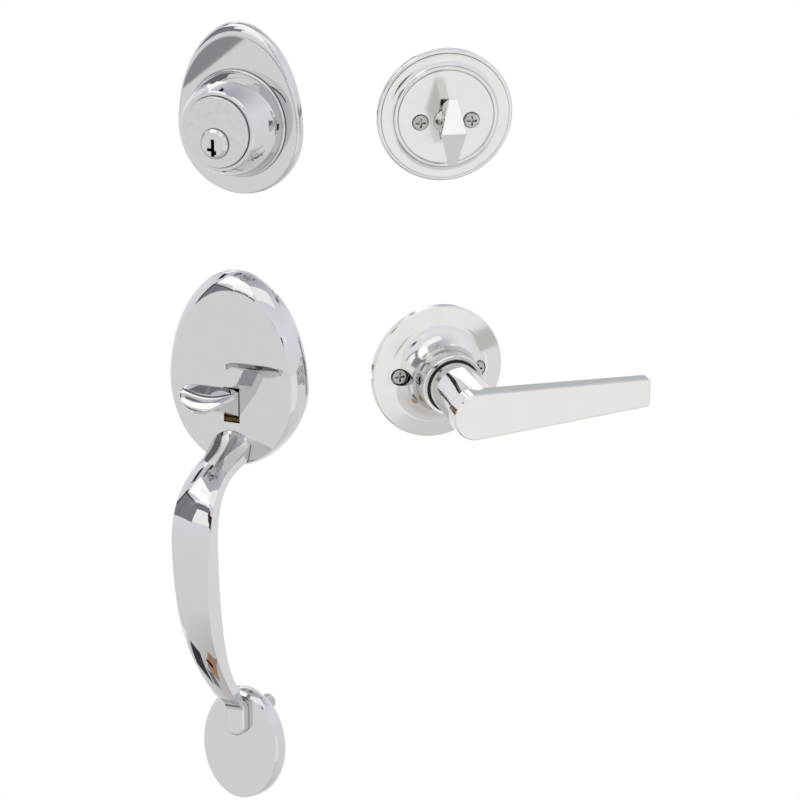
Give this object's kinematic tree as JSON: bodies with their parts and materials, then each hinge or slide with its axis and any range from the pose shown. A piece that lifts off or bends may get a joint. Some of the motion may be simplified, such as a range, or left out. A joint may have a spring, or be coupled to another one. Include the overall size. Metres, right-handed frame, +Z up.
{
  "type": "entry door handleset",
  "caption": "Entry door handleset with an oval plate, thumb latch and curved pull grip, a keyed deadbolt with its thumbturn and an inside lever, laid out as a set.",
  "frame": {"origin": "latch spindle's axis on the outside face of the door", "axes": "+Z up, -Y out of the door on the outside, +X to the right seen from outside; the two inside units stand beside the outside ones, turned as in the picture"},
  "size_m": [0.2218, 0.1462, 0.3821],
  "materials": {
    "chrome": "polished",
    "cylinder": "polished",
    "nickel": "polished",
    "screws": "plated",
    "zinc": "zinc plated",
    "spring_steel": "plain",
    "brass": "machined",
    "bush": "moulded"
  },
  "bodies": {
    "fixed": {"grip_plate": "chrome", "chassis": "zinc", "chassis_screws": "screws", "thumbpiece_pin": "spring_steel", "cam_spring": "spring_steel", "threaded_posts": "zinc", "pull_grip": "chrome", "grip_screws": "screws", "grip_base": "chrome", "base_post": "zinc", "deadbolt_trim": "chrome", "deadbolt_collar": "chrome", "cylinder_housing": "cylinder", "driver_pins": "brass", "pin_springs": "spring_steel", "chamber_cover": "brass", "deadbolt_backplate": "zinc", "deadbolt_posts": "zinc", "cylinder_screws": "screws", "turn_rose": "nickel", "turn_plate": "zinc", "turn_washer": "spring_steel", "turn_screws": "screws", "lever_rose": "nickel", "rose_bush": "bush", "lever_plate": "zinc", "lever_spring": "spring_steel", "lever_screws": "screws"},
    "thumbpiece": {"thumbpiece": "chrome"},
    "lift": {"lift_cam": "zinc", "latch_spindle": "zinc", "cam_ring": "spring_steel"},
    "plug": {"key_plug": "cylinder", "key_pins": "brass", "plug_clip": "spring_steel", "tailpiece": "zinc"},
    "turn": {"thumbturn": "nickel", "turn_ring": "spring_steel"},
    "lever": {"lever_handle": "nickel", "lever_hub": "zinc", "lever_ring": "spring_steel", "lever_catch": "nickel"}
  },
  "joints": [
    {"name": "key_turn", "type": "hinge", "parent": "fixed", "child": "plug", "pos_m": [0.0026, 0, 0.1204], "axis": [0, -1, 0], "range_deg": [-90, 90]},
    {"name": "thumbpiece_press", "type": "hinge", "parent": "fixed", "child": "thumbpiece", "pos_m": [0, 0.0025, -0.0082], "axis": [1, 0, 0], "range_deg": [0, 14], "stiffness_Nm_per_rad": 0.8, "springref_deg": -8.59},
    {"name": "lift_turn", "type": "hinge", "parent": "fixed", "child": "lift", "pos_m": [0, 0, 0], "axis": [0, -1, 0], "range_deg": [0, 50]},
    {"name": "thumbturn_turn", "type": "hinge", "parent": "fixed", "child": "turn", "pos_m": [0.08806, 0.04119, 0.12611], "axis": [0.5987, -0.7945, -0.1011], "range_deg": [-90, 90]},
    {"name": "lever_turn", "type": "hinge", "parent": "fixed", "child": "lever", "pos_m": [0.0835, 0.0394, 0.004], "axis": [0.7312, -0.6747, -0.1011], "range_deg": [-50, 50], "stiffness_Nm_per_rad": 1.6, "springref_deg": 2.29}
  ],
  "couplings": [
    {"joint": "lift_turn", "follows": "thumbpiece_press", "ratio": 3.5714}
  ]
}
